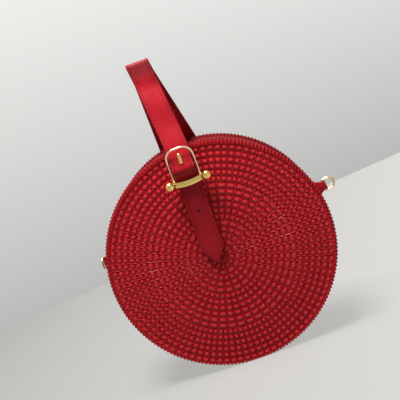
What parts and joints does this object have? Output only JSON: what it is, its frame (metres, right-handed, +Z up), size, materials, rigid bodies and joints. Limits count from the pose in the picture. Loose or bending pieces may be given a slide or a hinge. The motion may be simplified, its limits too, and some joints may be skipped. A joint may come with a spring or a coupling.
{
  "type": "circle bag",
  "caption": "Round red handbag of two stiff woven-look discs and a leather gusset, with a zip over the top, a folded strap handle, a horseshoe buckle and strap rings",
  "frame": {"origin": "on the floor under the middle of the drum, between the two discs", "axes": "+X to the right seen from the front, -Y to the front with the buckle, +Z up"},
  "size_m": [0.2174, 0.0797, 0.2623],
  "materials": {
    "woven_red": "glossy pressed weave, red beads with darker grooves",
    "red_leather": "smooth red leather with stitched edges",
    "board": "plain stiffening board",
    "lining_cloth": "red cloth lining",
    "zip_cloth": "ribbed red zip tape",
    "pale_gold": "polished pale gold plating"
  },
  "bodies": {
    "bag_body": {"back_panel": "woven_red", "back_board": "board", "back_lining": "lining_cloth", "bottom_gusset": "red_leather", "gusset_lining": "lining_cloth", "zip_strip_back": "red_leather", "zip_tape_back": "zip_cloth", "zip_teeth_back": "pale_gold", "zip_stops": "pale_gold", "left_tab": "red_leather", "right_tab": "red_leather", "handle_base": "red_leather"},
    "front_shell": {"front_panel": "woven_red", "front_board": "board", "front_lining": "lining_cloth", "zip_strip_front": "red_leather", "zip_tape_front": "zip_cloth", "zip_teeth_front": "pale_gold", "strap_tail": "red_leather", "buckle_loop": "red_leather"},
    "front_leg": {"handle_front_leg": "red_leather"},
    "back_leg": {"handle_back_leg": "red_leather"},
    "buckle": {"buckle_frame": "pale_gold", "bit_bar": "pale_gold", "ball_ends": "pale_gold", "centre_bar": "pale_gold"},
    "prong_tongue": {"prong": "pale_gold"},
    "slider": {"zip_slider": "pale_gold"},
    "pull": {"zip_pull": "pale_gold"},
    "left_strap_ring": {"left_ring": "pale_gold"},
    "right_strap_ring": {"right_ring": "pale_gold"}
  },
  "joints": [
    {"name": "mouth_open", "type": "hinge", "parent": "bag_body", "child": "front_shell", "pos_m": [0, -0.027, 0.07174], "axis": [1, 0, 0], "range_deg": [0, 16], "deforming": ["bottom_gusset", "gusset_lining"]},
    {"name": "front_leg_bend", "type": "hinge", "parent": "front_shell", "child": "front_leg", "pos_m": [-0.0044, -0.03541, 0.19145], "axis": [1, 0, 0], "range_deg": [-27.9, 0]},
    {"name": "back_leg_bend", "type": "hinge", "parent": "bag_body", "child": "back_leg", "pos_m": [-0.0044, 0.03102, 0.189], "axis": [1, 0, 0], "range_deg": [0, 16.8]},
    {"name": "buckle_tilt", "type": "hinge", "parent": "front_shell", "child": "buckle", "pos_m": [-0.0044, -0.03985, 0.1735], "axis": [1, 0, 0], "range_deg": [0, 4]},
    {"name": "prong_lift", "type": "hinge", "parent": "front_shell", "child": "prong_tongue", "pos_m": [-0.0044, -0.03985, 0.1735], "axis": [1, 0, 0], "range_deg": [0, 25]},
    {"name": "slider_travel", "type": "hinge", "parent": "bag_body", "child": "slider", "pos_m": [0, 0, 0.094], "axis": [0, -1, 0], "range_deg": [0, 197.2]},
    {"name": "pull_swing", "type": "hinge", "parent": "slider", "child": "pull", "pos_m": [0.09285, 0, 0.07988], "axis": [0, -1, 0], "range_deg": [-5, 150]},
    {"name": "left_ring_swing", "type": "hinge", "parent": "bag_body", "child": "left_strap_ring", "pos_m": [-0.10173, 0.02465, 0.11011], "axis": [0.1564, 0, 0.9877], "range_deg": [-160, 7]},
    {"name": "right_ring_swing", "type": "hinge", "parent": "bag_body", "child": "right_strap_ring", "pos_m": [0.10173, 0.02465, 0.11011], "axis": [0.1564, 0, -0.9877], "range_deg": [-82, 85]}
  ],
  "couplings": [
    {"joint": "front_leg_bend", "follows": "mouth_open", "ratio": -1.7324},
    {"joint": "back_leg_bend", "follows": "mouth_open", "ratio": 1.0386}
  ]
}
